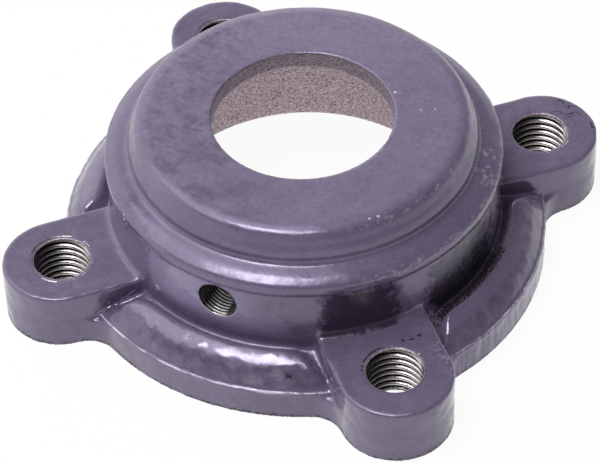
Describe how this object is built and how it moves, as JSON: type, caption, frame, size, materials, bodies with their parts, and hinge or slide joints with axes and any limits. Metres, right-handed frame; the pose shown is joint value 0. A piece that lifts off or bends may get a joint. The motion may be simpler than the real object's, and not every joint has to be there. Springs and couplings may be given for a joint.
{
  "type": "flange bearing unit",
  "caption": "Four-lug cast flange bearing housing with tapped lugs, a side grease port and a lipped bore, holding a shielded thin-section ball bearing and its retaining ring.",
  "frame": {"origin": "centre of the bore in the plane of the flat mounting face, which is the lowest face", "axes": "+Z along the bore axis from the mounting face to the lip; the grease port faces -Y; the lugs lie on the diagonals between the X and Y axes"},
  "size_m": [0.1236, 0.1236, 0.0444],
  "materials": {
    "enamelled_iron": "glossy lavender-grey enamel on a rough casting, bare iron where it is machined",
    "bearing_steel": "ground bearing steel",
    "shield_steel": "pressed sheet steel, satin",
    "cage_steel": "pressed strip steel",
    "ball_steel": "polished",
    "spring_steel": "black phosphated spring steel"
  },
  "bodies": {
    "housing_body": {"housing": "enamelled_iron", "bearing_outer_ring": "bearing_steel", "shield_upper": "shield_steel", "shield_lower": "shield_steel", "retaining_ring": "spring_steel"},
    "inner_ring_body": {"bearing_inner_ring": "bearing_steel"},
    "cage_body": {"cage_upper_half": "cage_steel", "cage_lower_half": "cage_steel", "cage_rivets": "cage_steel", "ball_01": "ball_steel", "ball_02": "ball_steel", "ball_03": "ball_steel", "ball_04": "ball_steel", "ball_05": "ball_steel", "ball_06": "ball_steel", "ball_07": "ball_steel", "ball_08": "ball_steel", "ball_09": "ball_steel", "ball_10": "ball_steel", "ball_11": "ball_steel", "ball_12": "ball_steel", "ball_13": "ball_steel", "ball_14": "ball_steel", "ball_15": "ball_steel", "ball_16": "ball_steel", "ball_17": "ball_steel", "ball_18": "ball_steel", "ball_19": "ball_steel", "ball_20": "ball_steel", "ball_21": "ball_steel", "ball_22": "ball_steel", "ball_23": "ball_steel", "ball_24": "ball_steel", "ball_25": "ball_steel", "ball_26": "ball_steel", "ball_27": "ball_steel", "ball_28": "ball_steel"}
  },
  "joints": [
    {"name": "inner_ring_spin", "type": "hinge", "parent": "housing_body", "child": "inner_ring_body", "pos_m": [0, 0, 0.0347], "axis": [0, 0, 1], "continuous": true},
    {"name": "cage_spin", "type": "hinge", "parent": "housing_body", "child": "cage_body", "pos_m": [0, 0, 0.0347], "axis": [0, 0, 1], "continuous": true}
  ],
  "couplings": [
    {"joint": "cage_spin", "follows": "inner_ring_spin", "ratio": 0.4724}
  ]
}
